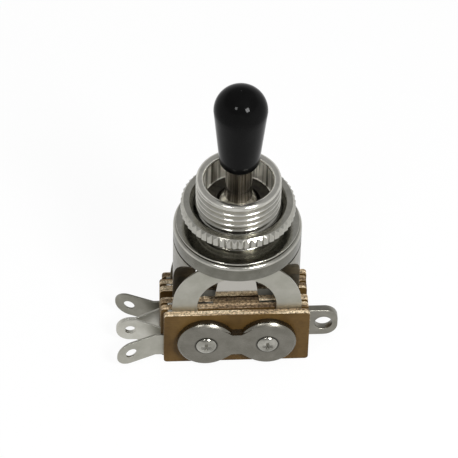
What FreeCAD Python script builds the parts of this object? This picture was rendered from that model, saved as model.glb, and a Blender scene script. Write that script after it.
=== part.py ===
import FreeCAD, Part
import os
import Sketcher

# Panel toggle selector, millimetres, +Z up along the bushing.
# The origin is on the bushing axis, in the plane of the flange that the panel seats on.
# The contact stack stands upright under the flange and is layered along Y, front to back.

doc = FreeCAD.newDocument("selector_switch")
sheet = doc.addObject("Spreadsheet::Sheet", "dims")

SIZES = [
    # threaded bushing
    ("neck_radius", 6.0, "outside of the thread"),
    ("neck_height", 8.9, "above the flange"),
    ("mouth_radius", 4.85, "bore at the mouth"),
    ("mouth_chamfer", 0.25, "inner edge of the mouth"),
    ("mouth_floor", 4.5, "bottom of the wide bore, above the flange"),
    ("flange_radius", 9.1, ""),
    ("flange_thickness", 2.8, ""),
    ("flange_rounding", 0.5, "outer edges of the flange"),
    # lever
    ("pivot_height", 3.3, "pivot above the flange face"),
    ("ball_radius", 3.0, ""),
    ("ball_clearance", 0.1, "between ball and bore"),
    ("shaft_radius", 1.9, "rod that carries the tip"),
    ("shaft_grip", 9.0, "length of rod inside the tip"),
    ("tail_radius", 1.1, "rod below the ball"),
    ("tail_drop", 5.4, "shoulder of the tail below the flange face"),
    ("stub_radius", 0.5, "stub that holds the cam"),
    ("stub_length", 1.2, ""),
    ("pin_radius", 0.6, "pivot pin"),
    ("pin_half", 5.5, "half of the pivot pin"),
    ("running_clearance", 0.05, "pin in the ball"),
    # tip
    ("tip_bottom", 11.75, "above the flange face"),
    ("tip_length", 13.85, ""),
    ("tip_radius", 3.75, "round head"),
    ("tip_base_radius", 2.75, "at the lower end"),
    ("tip_rounding", 0.8, "edge of the lower end"),
    # cam
    ("cam_radius", 0.8, ""),
    ("cam_half", 2.1, "half of its length"),
    # washer and nut
    ("washer_radius", 8.75, ""),
    ("washer_thickness", 0.5, ""),
    ("washer_clearance", 0.15, "washer round the thread"),
    ("nut_height", 2.5, "underside of the nut above the flange face"),
    ("nut_thickness", 1.9, ""),
    ("nut_radius", 8.1, "over the knurl"),
    ("nut_bevel", 0.8, "bevel at the top of its hole"),
    ("nut_edge", 0.2, "chamfer at the knurl's ends"),
    ("thread_clearance", 0.05, "nut on the thread"),
    ("knurl_count", 52, "grooves round the nut"),
    ("knurl_depth", 0.4, ""),
    # bracket
    ("web_thickness", 1.2, "flat of the bracket between the boards"),
    ("shoulder_half", 5.8, "half of its depth under the flange"),
    ("shoulder_drop", 10.6, "where its shoulders run out into the flat, below the flange face"),
    ("shoulder_hollow", 18, "radius of the hollow faces of its shoulders"),
    ("bracket_hole_radius", 3.0, "hole for the tail"),
    ("window_half", 6.2, "half of the window between its legs"),
    ("window_top", 3.6, "below the flange face"),
    ("window_rounding", 1.6, "upper corners of the window"),
    # stack
    ("stack_drop", 14.6, "top of the stack below the flange face"),
    ("board_depth", 9.75, "height of the boards"),
    ("board_left", 10.9, "left end of the inner boards from the axis"),
    ("board_right", 10.4, "right end of the inner boards from the axis"),
    ("cover_half", 10.5, "half of the front board"),
    ("cover_rounding", 0.5, "corners of the boards"),
    ("cover_thickness", 0.95, "front and rear boards"),
    ("outer_spacer", 1.05, "board between contact and leaf"),
    ("inner_spacer", 0.7, "board on the inner side of a leaf"),
    ("core_spacer", 0.4, "thin board against the bracket"),
    ("strip_thickness", 0.33, "contacts and leaves"),
    ("plate_inset", 1.0, "metal inside the boards' ends"),
    ("plate_rise", 0.9, "metal above the boards' lower edge"),
    # contacts and leaves
    ("arch_radius", 9.3, "outside of the arch"),
    ("arch_inner_radius", 5.7, ""),
    ("arch_gap", 1.7, "between the flange and the top of the arch"),
    ("button_radius", 0.8, "contact button"),
    ("button_thickness", 0.15, ""),
    ("button_drop", 5.7, "below the flange face"),
    ("tongue_root_half", 3.5, "leaf tongue where it leaves the stack"),
    ("tongue_tip_half", 1.9, ""),
    ("tongue_drop", 5.0, "its upper end below the flange face"),
    # soldering lugs
    ("lug_drop", 21.7, "lug centre line below the flange face"),
    ("lug_radius", 2.05, "round end"),
    ("lug_hole_radius", 0.78, ""),
    ("lug_reach", 17.3, "end of the lugs from the axis"),
    ("lug_straight", 11.7, "where the outer lugs start to bend"),
    ("lug_spread", 2.35, "outer lugs bent away from the stack"),
    ("lug_join", 14.4, "where the middle lugs meet"),
    ("ground_height", 5.1, "height of the ground lug"),
    ("ground_rounding", 2.0, "corners of its outer end"),
    ("ground_reach", 15.0, "end of the ground lug from the axis"),
    ("ground_hole_radius", 1.25, ""),
    ("ground_hole_inset", 2.1, "hole from the end of the ground lug"),
    ("ground_hole_rise", 2.45, "hole above the lug's lower edge"),
    ("ground_root", 1.2, "inner end of the ground lug from the axis"),
    ("ground_root_height", 6.7, "height of the ground lug between the boards"),
    ("ground_gap", 0.2, "between the ground lug and the bracket"),
    # clamping
    ("clamp_radius", 4.15, "round ends of the clamp plates"),
    ("clamp_thickness", 1.25, ""),
    ("clamp_chamfer", 0.35, "outer edge of the clamp plates"),
    ("clamp_rise", 0.5, "clamp plates above the boards' lower edge"),
    ("waist_half", 2.0, "half of the waist between the round ends"),
    ("waist_flat", 0.7, "half of its straight stretch"),
    ("waist_flare", 2.2, "where the waist meets the round ends"),
    ("screw_spacing", 8.86, ""),
    ("screw_radius", 1.0, ""),
    ("screw_proud", 0.6, "end of the screw behind the rear plate"),
    ("head_radius", 1.55, ""),
    ("head_thickness", 0.55, ""),
    ("head_rounding", 0.44, "edge of the domed head"),
    ("recess_width", 0.36, "cross recess"),
    ("recess_length", 1.7, ""),
    ("recess_depth", 0.35, ""),
    ("sleeve_wall", 0.5, "insulating sleeve on each screw"),
    ("sleeve_clearance", 0.05, "sleeve inside the holes"),
]
for row, (alias, value, _) in enumerate(SIZES, start=1):
    sheet.set(f"A{row}", alias)
    sheet.set(f"B{row}", str(value))
    sheet.setAlias(f"B{row}", alias)
doc.recompute()

# Planes that several pieces share, as expressions of the sizes above.
STACK_TOP = "-dims.stack_drop"
STACK_BOTTOM = "-dims.stack_drop - dims.board_depth"
PLATE_BOTTOM = "-dims.stack_drop - dims.board_depth + dims.plate_rise"
SCREW_Z = "-dims.stack_drop - dims.board_depth + dims.clamp_radius + dims.clamp_rise"
SCREW_X = "dims.screw_spacing / 2"
ARCH_Z = "-dims.flange_thickness - dims.arch_gap - dims.arch_radius"
SLEEVE_RADIUS = "dims.screw_radius + dims.sleeve_wall"
HOLE_RADIUS = "dims.screw_radius + dims.sleeve_wall + dims.sleeve_clearance"

# Distance of each layer's inner face from the middle of the stack, going outwards.
CORE = "dims.web_thickness / 2"
INNER = f"{CORE} + dims.core_spacer"
LEAF = f"{INNER} + dims.inner_spacer"
OUTER = f"{LEAF} + dims.strip_thickness"
CONTACT = f"{OUTER} + dims.outer_spacer"
COVER = f"{CONTACT} + dims.strip_thickness"
CLAMP = f"{COVER} + dims.cover_thickness"
FACE = f"{CLAMP} + dims.clamp_thickness"

# Blanks and cutting bars run from this far in front of the middle to as far behind it.
BEYOND = f"3 * ({FACE})"

nodes = []


def number(expression):
    """The present value of an expression of the sheet."""
    return float(sheet.evalExpression(expression.replace("dims.", "")))


def node(piece, name):
    """Keep a piece as the sub-part of this name."""
    piece.Label = name
    nodes.append(piece)
    return piece


def body(name):
    """An empty body that is kept as a sub-part."""
    return node(doc.addObject("PartDesign::Body", name), name)


def sketch_on(owner, plane, offset="0"):
    """A sketch on one of the body's origin planes, moved along the plane's normal."""
    sketch = owner.newObject("Sketcher::SketchObject", "profile")
    datum = next(f for f in owner.Origin.OriginFeatures if f.Role == plane)
    sketch.AttachmentSupport = [(datum, "")]
    sketch.MapMode = "FlatFace"
    sketch.setExpression("AttachmentOffset.Base.z", offset)
    return sketch


def fix_point(sketch, shape, end, u, v):
    """Tie one point of a sketch to two expressions."""
    for kind, value in (("DistanceX", u), ("DistanceY", v)):
        index = sketch.addConstraint(Sketcher.Constraint(kind, -1, 1, shape, end, number(value)))
        sketch.setExpression(f"Constraints[{index}]", value)


def outline(sketch, corners, arcs=()):
    """A closed outline through corners given as expressions.

    arcs maps the index of an edge to (radius, side): that edge is an arc which bulges to the
    right of its direction for side +1 and to the left for side -1.
    """
    arcs = dict(arcs)
    spots = [FreeCAD.Vector(number(u), number(v), 0) for u, v in corners]
    count = len(corners)
    for edge in range(count):
        start, end = spots[edge], spots[(edge + 1) % count]
        if edge not in arcs:
            sketch.addGeometry(Part.LineSegment(start, end), False)
            continue
        radius, side = number(arcs[edge][0]), arcs[edge][1]
        chord = end - start
        right = FreeCAD.Vector(chord.y, -chord.x, 0).normalize() * side
        sagitta = radius - (radius ** 2 - (chord.Length / 2) ** 2) ** 0.5
        middle = (start + end) / 2 + right * sagitta
        sketch.addGeometry(Part.Arc(start, middle, end), False)
    ends = []
    for edge in range(count):
        turned = (sketch.getPoint(edge, 1) - spots[edge]).Length > 1e-6
        ends.append((2, 1) if turned else (1, 2))
        fix_point(sketch, edge, ends[edge][0], *corners[edge])
    for edge in range(count):
        after = (edge + 1) % count
        sketch.addConstraint(Sketcher.Constraint("Coincident", edge, ends[edge][1], after, ends[after][0]))
    for edge, (radius, _) in arcs.items():
        index = sketch.addConstraint(Sketcher.Constraint("Radius", edge, number(radius)))
        sketch.setExpression(f"Constraints[{index}]", radius)


def ring(sketch, u, v, radius):
    """A full circle in a sketch."""
    centre = FreeCAD.Vector(number(u), number(v), 0)
    index = sketch.addGeometry(Part.Circle(centre, FreeCAD.Vector(0, 0, 1), number(radius)), False)
    fix_point(sketch, index, 3, u, v)
    held = sketch.addConstraint(Sketcher.Constraint("Radius", index, number(radius)))
    sketch.setExpression(f"Constraints[{held}]", radius)


def pad(owner, sketch, length, turned=False, midplane=False):
    """A solid drawn out of a sketch."""
    feature = owner.newObject("PartDesign::Pad", "pad")
    feature.Profile = sketch
    feature.setExpression("Length", length)
    feature.Reversed = turned
    feature.Midplane = midplane
    return feature


def revolve(owner, sketch):
    """A solid turned about the sketch's upright axis."""
    feature = owner.newObject("PartDesign::Revolution", "turned")
    feature.Profile = sketch
    feature.ReferenceAxis = (sketch, ["V_Axis"])
    feature.Angle = 360
    return feature


def cut_through(owner, sketch):
    """A cut both ways through the whole body."""
    feature = owner.newObject("PartDesign::Pocket", "cut")
    feature.Profile = sketch
    feature.Type = "ThroughAll"
    feature.Midplane = True
    return feature


def bound(kind, name, **expressions):
    """A solid primitive or boolean whose properties follow expressions."""
    piece = doc.addObject(kind, name)
    for prop, expression in expressions.items():
        piece.setExpression(prop, expression)
    return piece


def put(piece, x="0", y="0", z="0"):
    """Place a piece by expressions."""
    piece.setExpression("Placement.Base.x", x)
    piece.setExpression("Placement.Base.y", y)
    piece.setExpression("Placement.Base.z", z)
    return piece


ALONG_Y = FreeCAD.Rotation(FreeCAD.Vector(1, 0, 0), -90)
ALONG_X = FreeCAD.Rotation(FreeCAD.Vector(0, 1, 0), 90)


def rod(name, radius, length, turn, x="0", y="0", z="0"):
    """A round bar along an axis, starting at a point."""
    piece = bound("Part::Cylinder", name, Radius=radius, Height=length)
    piece.Placement = FreeCAD.Placement(FreeCAD.Vector(0, 0, 0), turn)
    return put(piece, x, y, z)


def block(name, x0, x1, y0, y1, z0, z1):
    """A rectangular block between six planes."""
    piece = bound("Part::Box", name, Length=f"({x1}) - ({x0})", Width=f"({y1}) - ({y0})",
                  Height=f"({z1}) - ({z0})")
    return put(piece, x0, y0, z0)


def drawn(name, turn, corners, start, length, direction):
    """A polygon given by expressions, drawn out along a direction."""
    sketch = doc.addObject("Sketcher::SketchObject", name + "_profile")
    sketch.Placement = FreeCAD.Placement(FreeCAD.Vector(0, 0, 0), turn)
    outline(sketch, corners)
    put(sketch, **start)
    piece = doc.addObject("Part::Extrusion", name)
    piece.Base = sketch
    piece.DirMode = "Custom"
    piece.Dir = direction
    piece.Solid = True
    piece.setExpression("LengthFwd", length)
    return piece


FLAT = FreeCAD.Rotation()
UPRIGHT = FreeCAD.Rotation(FreeCAD.Vector(1, 0, 0), 90)
UP = FreeCAD.Vector(0, 0, 1)
BACK = FreeCAD.Vector(0, 1, 0)


def joined(name, pieces):
    """One solid of several that overlap."""
    piece = doc.addObject("Part::MultiFuse", name)
    piece.Shapes = pieces
    piece.Refine = True
    return piece


def shared(name, pieces):
    """What several solids have in common."""
    piece = doc.addObject("Part::MultiCommon", name)
    piece.Shapes = pieces
    piece.Refine = True
    return piece


def less(name, base, tool):
    """A solid with another taken away."""
    piece = doc.addObject("Part::Cut", name)
    piece.Base = base
    piece.Tool = tool
    piece.Refine = True
    return piece


def screw_holes(name, radius):
    """Two bars through the whole stack, where the screws go."""
    return joined(name, [
        rod(f"{name}_{side}", radius, f"2 * ({BEYOND})", ALONG_Y,
            x=f"{sign} * ({SCREW_X})", y=f"-({BEYOND})", z=SCREW_Z)
        for side, sign in (("left", -1), ("right", 1))
    ])


def make_bushing():
    """Turned bushing: flange, threaded neck, wide mouth and the bore that holds the ball."""
    bushing = body("bushing")
    profile = sketch_on(bushing, "XZ_Plane")
    bore = "dims.ball_radius + dims.ball_clearance"
    outline(profile, [
        (bore, "-dims.flange_thickness"),
        ("dims.flange_radius - dims.flange_rounding", "-dims.flange_thickness"),
        ("dims.flange_radius", "-dims.flange_thickness + dims.flange_rounding"),
        ("dims.flange_radius", "-dims.flange_rounding"),
        ("dims.flange_radius - dims.flange_rounding", "0"),
        ("dims.neck_radius", "0"),
        ("dims.neck_radius", "dims.neck_height - dims.mouth_chamfer"),
        ("dims.neck_radius - dims.mouth_chamfer", "dims.neck_height"),
        ("dims.mouth_radius + dims.mouth_chamfer", "dims.neck_height"),
        ("dims.mouth_radius", "dims.neck_height - dims.mouth_chamfer"),
        ("dims.mouth_radius", "dims.mouth_floor"),
        (bore, "dims.mouth_floor"),
    ], {1: ("dims.flange_rounding", 1), 3: ("dims.flange_rounding", 1)})
    revolve(bushing, profile)
    hole = sketch_on(bushing, "YZ_Plane")
    ring(hole, "0", "dims.pivot_height", "dims.pin_radius")
    cut_through(bushing, hole)


def make_lever():
    """Turned lever: rod for the tip, pivot ball with its cross hole, tail and stub."""
    lever = body("lever")
    profile = sketch_on(lever, "XZ_Plane")
    upper = "dims.pivot_height + sqrt(dims.ball_radius ^ 2 - dims.shaft_radius ^ 2)"
    lower = "dims.pivot_height - sqrt(dims.ball_radius ^ 2 - dims.tail_radius ^ 2)"
    outline(profile, [
        ("0", "-dims.tail_drop - dims.stub_length"),
        ("dims.stub_radius", "-dims.tail_drop - dims.stub_length"),
        ("dims.stub_radius", "-dims.tail_drop"),
        ("dims.tail_radius", "-dims.tail_drop"),
        ("dims.tail_radius", lower),
        ("dims.shaft_radius", upper),
        ("dims.shaft_radius", "dims.tip_bottom + dims.shaft_grip"),
        ("0", "dims.tip_bottom + dims.shaft_grip"),
    ], {4: ("dims.ball_radius", 1)})
    revolve(lever, profile)
    hole = sketch_on(lever, "YZ_Plane")
    ring(hole, "0", "dims.pivot_height", "dims.pin_radius + dims.running_clearance")
    cut_through(lever, hole)


def make_tip():
    """Moulded tip: a round head that tapers to a narrow mouth, with a blind hole for the rod."""
    tip = body("lever_tip")
    profile = sketch_on(tip, "XZ_Plane")
    head = "dims.tip_bottom + dims.tip_length - dims.tip_radius"
    outline(profile, [
        ("dims.shaft_radius", "dims.tip_bottom"),
        ("dims.tip_base_radius - dims.tip_rounding", "dims.tip_bottom"),
        ("dims.tip_base_radius", "dims.tip_bottom + dims.tip_rounding"),
        ("dims.tip_radius", head),
        ("0", "dims.tip_bottom + dims.tip_length"),
        ("0", "dims.tip_bottom + dims.shaft_grip"),
        ("dims.shaft_radius", "dims.tip_bottom + dims.shaft_grip"),
    ], {1: ("dims.tip_rounding", 1), 3: ("dims.tip_radius", 1)})
    revolve(tip, profile)


def make_pivot_pin():
    """Straight pin across the bushing that the ball turns on."""
    node(rod("pivot_pin_bar", "dims.pin_radius", "2 * dims.pin_half", ALONG_X,
             x="-dims.pin_half", z="dims.pivot_height"), "pivot_pin")


def make_cam():
    """Moulded cross bar on the end of the lever, which parts the leaves."""
    bar = rod("cam_bar", "dims.cam_radius", "2 * dims.cam_half", ALONG_X,
              x="-dims.cam_half", z="-dims.tail_drop - dims.cam_radius")
    stub = rod("cam_hole", "dims.stub_radius", "dims.stub_length", FLAT,
               z="-dims.tail_drop - dims.stub_length")
    node(less("cam_piece", bar, stub), "cam")


def make_washer():
    """Flat washer on the flange."""
    washer = body("washer")
    profile = sketch_on(washer, "XY_Plane")
    ring(profile, "0", "0", "dims.washer_radius")
    ring(profile, "0", "0", "dims.neck_radius + dims.washer_clearance")
    pad(washer, profile, "dims.washer_thickness")


def make_nut():
    """Round nut with a bevelled hole and a straight knurl on its rim."""
    nut = body("knurled_nut")
    profile = sketch_on(nut, "XZ_Plane")
    hole = "dims.neck_radius + dims.thread_clearance"
    top = "dims.nut_height + dims.nut_thickness"
    outline(profile, [
        (hole, "dims.nut_height"),
        ("dims.nut_radius - dims.nut_edge", "dims.nut_height"),
        ("dims.nut_radius", "dims.nut_height + dims.nut_edge"),
        ("dims.nut_radius", f"{top} - dims.nut_edge"),
        ("dims.nut_radius - dims.nut_edge", top),
        (f"{hole} + dims.nut_bevel", top),
        (hole, f"{top} - dims.nut_bevel"),
    ])
    revolve(nut, profile)
    groove = sketch_on(nut, "XY_Plane")
    half = "dims.nut_radius * tan(90 / dims.knurl_count)"
    outline(groove, [
        ("dims.nut_radius - dims.knurl_depth", "0"),
        ("dims.nut_radius + dims.knurl_depth", f"-2 * {half}"),
        ("dims.nut_radius + dims.knurl_depth", f"2 * {half}"),
    ])
    first = cut_through(nut, groove)
    turns = nut.newObject("PartDesign::PolarPattern", "knurl")
    turns.Originals = [first]
    turns.Axis = (groove, ["N_Axis"])
    turns.Angle = 360
    turns.setExpression("Occurrences", "dims.knurl_count")
    nut.Tip = turns


def make_bracket():
    """Cast frame under the flange: hollow shoulders that run out into two flat legs.

    Between the legs is the window that the lever's tail swings in. The legs join below it, inside
    the stack, where the left screw holds them; the lower right is cut away for the ground lug.
    """
    bracket = body("bracket")
    top = "-dims.flange_thickness"
    run_out = "-dims.shoulder_drop"
    profile = sketch_on(bracket, "YZ_Plane")
    outline(profile, [
        (f"-({CORE})", PLATE_BOTTOM),
        (CORE, PLATE_BOTTOM),
        (CORE, run_out),
        ("dims.shoulder_half", top),
        ("-dims.shoulder_half", top),
        (f"-({CORE})", run_out),
    ], {2: ("dims.shoulder_hollow", -1), 4: ("dims.shoulder_hollow", -1)})
    pad(bracket, profile, "2 * dims.flange_radius", midplane=True)
    outside = sketch_on(bracket, "XY_Plane")
    ring(outside, "0", "0", "dims.flange_radius")
    ring(outside, "0", "0", "2 * dims.flange_radius")
    cut_through(bracket, outside)
    window = sketch_on(bracket, "XZ_Plane")
    rounding = "dims.window_rounding"
    side = "dims.window_half"
    lintel = "-dims.window_top"
    outline(window, [
        (f"-{side}", STACK_TOP),
        (side, STACK_TOP),
        (side, f"{lintel} - {rounding}"),
        (f"{side} - {rounding}", lintel),
        (f"-{side} + {rounding}", lintel),
        (f"-{side}", f"{lintel} - {rounding}"),
    ], {2: (rounding, 1), 4: (rounding, 1)})
    cut_through(bracket, window)
    seat = sketch_on(bracket, "XZ_Plane")
    seat_left = "dims.ground_root - dims.ground_gap"
    seat_top = f"{PLATE_BOTTOM} + dims.ground_root_height + dims.ground_gap"
    outline(seat, [
        (seat_left, STACK_BOTTOM),
        ("2 * dims.flange_radius", STACK_BOTTOM),
        ("2 * dims.flange_radius", seat_top),
        (seat_left, seat_top),
    ])
    cut_through(bracket, seat)
    hole = sketch_on(bracket, "XZ_Plane")
    ring(hole, f"-({SCREW_X})", SCREW_Z, HOLE_RADIUS)
    cut_through(bracket, hole)
    tail = sketch_on(bracket, "XY_Plane", top)
    ring(tail, "0", "0", "dims.bracket_hole_radius")
    opening = bracket.newObject("PartDesign::Pocket", "tail_hole")
    opening.Profile = tail
    opening.setExpression("Length", "dims.window_top")


def make_board(name, inner, thickness, rear, left, right, top=STACK_TOP):
    """One insulating board of the stack with its two screw holes."""
    board = body(name)
    front = f"-({inner}) - ({thickness})" if not rear else inner
    profile = sketch_on(board, "XZ_Plane", f"-({front})")
    rounding = "dims.cover_rounding"
    outline(profile, [
        (f"-({left}) + {rounding}", STACK_BOTTOM),
        (f"{right} - {rounding}", STACK_BOTTOM),
        (right, f"{STACK_BOTTOM} + {rounding}"),
        (right, f"{top} - {rounding}"),
        (f"{right} - {rounding}", top),
        (f"-({left}) + {rounding}", top),
        (f"-({left})", f"{top} - {rounding}"),
        (f"-({left})", f"{STACK_BOTTOM} + {rounding}"),
    ], {1: (rounding, 1), 3: (rounding, 1), 5: (rounding, 1), 7: (rounding, 1)})
    ring(profile, f"-({SCREW_X})", SCREW_Z, HOLE_RADIUS)
    ring(profile, SCREW_X, SCREW_Z, HOLE_RADIUS)
    pad(board, profile, thickness, turned=True)


def make_boards():
    """The eight boards, from the front cover to the rear cover."""
    for side, rear in (("front", False), ("rear", True)):
        make_board(f"{side}_cover_board", COVER, "dims.cover_thickness", rear,
                   "dims.cover_half", "dims.cover_half")
        for name, inner, thickness in (
            (f"{side}_outer_spacer", OUTER, "dims.outer_spacer"),
            (f"{side}_inner_spacer", INNER, "dims.inner_spacer"),
            (f"{side}_core_spacer", CORE, "dims.core_spacer"),
        ):
            make_board(name, inner, thickness, rear, "dims.board_left", "dims.board_right")


def lug_strip(name, inner, rear, path):
    """The bent strip of a contact seen from above, drawn up over the whole height."""
    sign = 1 if rear else -1
    thickness = "dims.strip_thickness"
    near = [(x, f"{sign} * ({inner} + ({shift}))") for x, shift in path]
    far = [(x, f"{sign} * ({inner} + ({shift}) + {thickness})") for x, shift in reversed(path)]
    return drawn(name, FLAT, near + far, {"z": STACK_BOTTOM}, "dims.board_depth + dims.stack_drop", UP)


def lug_face(name, parts):
    """The front view of a contact, drawn through the whole stack and joined with its lug."""
    depth = f"2 * ({BEYOND})"
    start = f"-({BEYOND})"
    lug = "-dims.lug_drop"
    neck = block(f"{name}_neck", "-dims.lug_reach + dims.lug_radius", "0", start, BEYOND,
                 f"{lug} - dims.lug_radius", f"{lug} + dims.lug_radius")
    eye = rod(f"{name}_eye", "dims.lug_radius", depth, ALONG_Y,
              x="-dims.lug_reach + dims.lug_radius", y=start, z=lug)
    base = block(f"{name}_base", "-dims.board_left + dims.plate_inset", "dims.board_right - dims.plate_inset",
                 start, BEYOND, PLATE_BOTTOM, STACK_TOP)
    return joined(f"{name}_face", [base, neck, eye] + parts)


def lug_holes(name):
    """The soldering hole and the two screw holes of a contact."""
    eye = rod(f"{name}_eyelet", "dims.lug_hole_radius", f"2 * ({BEYOND})", ALONG_Y,
              x="-dims.lug_reach + dims.lug_radius", y=f"-({BEYOND})", z="-dims.lug_drop")
    return joined(f"{name}_holes", [eye, screw_holes(f"{name}_screws", HOLE_RADIUS)])


def make_contact(name, rear):
    """Fixed contact: a clamped plate with an arch above the stack and a lug bent outwards."""
    sign = 1 if rear else -1
    start = f"-({BEYOND})"
    disc = rod(f"{name}_disc", "dims.arch_radius", f"2 * ({BEYOND})", ALONG_Y, y=start, z=ARCH_Z)
    above = block(f"{name}_above", "-dims.arch_radius", "dims.arch_radius", start, BEYOND,
                  f"{STACK_TOP} - dims.plate_rise", "0")
    opening = rod(f"{name}_opening", "dims.arch_inner_radius", f"2 * ({BEYOND})", ALONG_Y, y=start,
                  z=ARCH_Z)
    arch = shared(f"{name}_arch", [disc, above])
    face = less(f"{name}_outline", lug_face(name, [arch]), opening)
    path = [
        ("dims.arch_radius", "0"),
        ("-dims.lug_straight", "0"),
        ("-dims.lug_reach", "dims.lug_spread"),
    ]
    sheet_cut = shared(f"{name}_sheet", [lug_strip(f"{name}_strip", CONTACT, rear, path), face])
    plate = less(f"{name}_plate", sheet_cut, lug_holes(name))
    button_y = CONTACT + " - dims.button_thickness" if rear else f"-({CONTACT})"
    button = rod(f"{name}_button", "dims.button_radius", "dims.button_thickness", ALONG_Y,
                 y=button_y, z="-dims.button_drop")
    node(joined(f"{name}_whole", [plate, button]), name)


def make_leaf(name, rear):
    """Spring leaf: a clamped plate, a tapered tongue beside the cam and a lug bent to its twin."""
    tongue = drawn(f"{name}_tongue", UPRIGHT, [
        ("-dims.tongue_root_half", f"{STACK_TOP} - dims.plate_rise"),
        ("dims.tongue_root_half", f"{STACK_TOP} - dims.plate_rise"),
        ("dims.tongue_tip_half", "-dims.tongue_drop"),
        ("-dims.tongue_tip_half", "-dims.tongue_drop"),
    ], {"y": f"-({BEYOND})"}, f"2 * ({BEYOND})", BACK)
    face = lug_face(name, [tongue])
    path = [
        ("dims.board_right", "0"),
        ("-dims.board_left", "0"),
        ("-dims.lug_join", f"-({LEAF})"),
        ("-dims.lug_reach", f"-({LEAF})"),
    ]
    sheet_cut = shared(f"{name}_sheet", [lug_strip(f"{name}_strip", LEAF, rear, path), face])
    node(less(f"{name}_whole", sheet_cut, lug_holes(name)), name)


def make_ground_lug():
    """Thick plate in the bracket's layer, under the right screw, whose lug stands out on the right."""
    lug = body("ground_lug")
    profile = sketch_on(lug, "XZ_Plane", f"-({CORE})")
    rounding = "dims.ground_rounding"
    top = f"{PLATE_BOTTOM} + dims.ground_height"
    root_top = f"{PLATE_BOTTOM} + dims.ground_root_height"
    root_end = "dims.board_right - dims.plate_inset"
    outline(profile, [
        ("dims.ground_root", PLATE_BOTTOM),
        (f"dims.ground_reach - {rounding}", PLATE_BOTTOM),
        ("dims.ground_reach", f"{PLATE_BOTTOM} + {rounding}"),
        ("dims.ground_reach", f"{top} - {rounding}"),
        (f"dims.ground_reach - {rounding}", top),
        (root_end, top),
        (root_end, root_top),
        ("dims.ground_root", root_top),
    ], {1: (rounding, 1), 3: (rounding, 1)})
    ring(profile, SCREW_X, SCREW_Z, HOLE_RADIUS)
    ring(profile, "dims.ground_reach - dims.ground_hole_inset", f"{PLATE_BOTTOM} + dims.ground_hole_rise",
         "dims.ground_hole_radius")
    pad(lug, profile, "dims.web_thickness")


def make_clamp_plate(name, rear):
    """Plate with two round ends that the screws draw against the boards."""
    front = CLAMP if rear else f"-({FACE})"
    ends = []
    for side, sign in (("left", -1), ("right", 1)):
        x = f"{sign} * ({SCREW_X})"
        flat = rod(f"{name}_{side}_end", "dims.clamp_radius", "dims.clamp_thickness - dims.clamp_chamfer",
                   ALONG_Y, x=x, y=front if rear else f"-({FACE}) + dims.clamp_chamfer", z=SCREW_Z)
        edge = bound("Part::Cone", f"{name}_{side}_edge", Height="dims.clamp_chamfer",
                     Radius1="dims.clamp_radius" if rear else "dims.clamp_radius - dims.clamp_chamfer",
                     Radius2="dims.clamp_radius - dims.clamp_chamfer" if rear else "dims.clamp_radius")
        edge.Placement = FreeCAD.Placement(FreeCAD.Vector(0, 0, 0), ALONG_Y)
        put(edge, x, f"{FACE} - dims.clamp_chamfer" if rear else front, SCREW_Z)
        ends += [flat, edge]
    flare = f"sqrt(dims.clamp_radius ^ 2 - ({SCREW_X} - dims.waist_flare) ^ 2) - dims.clamp_chamfer"
    waist = drawn(f"{name}_waist", UPRIGHT, [
        ("-dims.waist_flare", f"{SCREW_Z} - ({flare})"),
        ("-dims.waist_flat", f"{SCREW_Z} - dims.waist_half"),
        ("dims.waist_flat", f"{SCREW_Z} - dims.waist_half"),
        ("dims.waist_flare", f"{SCREW_Z} - ({flare})"),
        ("dims.waist_flare", f"{SCREW_Z} + {flare}"),
        ("dims.waist_flat", f"{SCREW_Z} + dims.waist_half"),
        ("-dims.waist_flat", f"{SCREW_Z} + dims.waist_half"),
        ("-dims.waist_flare", f"{SCREW_Z} + {flare}"),
    ], {"y": front}, "dims.clamp_thickness", BACK)
    plate = joined(f"{name}_plate", ends + [waist])
    node(less(f"{name}_whole", plate, screw_holes(f"{name}_holes", "dims.screw_radius")), name)


def make_screw(name, sign):
    """Clamp screw with a domed head and a cross recess, its axis along the stack."""
    screw = body(name)
    x = f"{sign} * ({SCREW_X})"
    shank = sketch_on(screw, "XZ_Plane", f"{FACE}")
    ring(shank, x, SCREW_Z, "dims.screw_radius")
    pad(screw, shank, f"2 * ({FACE}) + dims.screw_proud", turned=True)
    head = sketch_on(screw, "XZ_Plane", f"{FACE}")
    ring(head, x, SCREW_Z, "dims.head_radius")
    disc = pad(screw, head, "dims.head_thickness")
    doc.recompute()
    rim = [f"Edge{index}" for index, edge in enumerate(disc.Shape.Edges, start=1)
           if abs(edge.CenterOfMass.y + number(f"{FACE} + dims.head_thickness")) < 1e-4]
    dome = screw.newObject("PartDesign::Fillet", "dome")
    dome.Base = (disc, rim)
    dome.setExpression("Radius", "min(dims.head_rounding; 0.9 * dims.head_thickness)")
    cross = sketch_on(screw, "XZ_Plane", f"{FACE} + dims.head_thickness")
    wide, long = "dims.recess_width / 2", "dims.recess_length / 2"
    outline(cross, [(f"{x} + {u}", f"{SCREW_Z} + {v}") for u, v in (
        (wide, f"-{wide}"), (long, f"-{wide}"), (long, wide), (wide, wide),
        (wide, long), (f"-{wide}", long), (f"-{wide}", wide), (f"-{long}", wide),
        (f"-{long}", f"-{wide}"), (f"-{wide}", f"-{wide}"), (f"-{wide}", f"-{long}"), (wide, f"-{long}"),
    )])
    recess = screw.newObject("PartDesign::Pocket", "recess")
    recess.Profile = cross
    recess.setExpression("Length", "dims.recess_depth")


def make_sleeve(name, sign):
    """Insulating sleeve that keeps a screw clear of the contacts."""
    sleeve = body(name)
    profile = sketch_on(sleeve, "XZ_Plane", CLAMP)
    ring(profile, f"{sign} * ({SCREW_X})", SCREW_Z, SLEEVE_RADIUS)
    ring(profile, f"{sign} * ({SCREW_X})", SCREW_Z, "dims.screw_radius")
    pad(sleeve, profile, f"2 * ({CLAMP})", turned=True)


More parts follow.
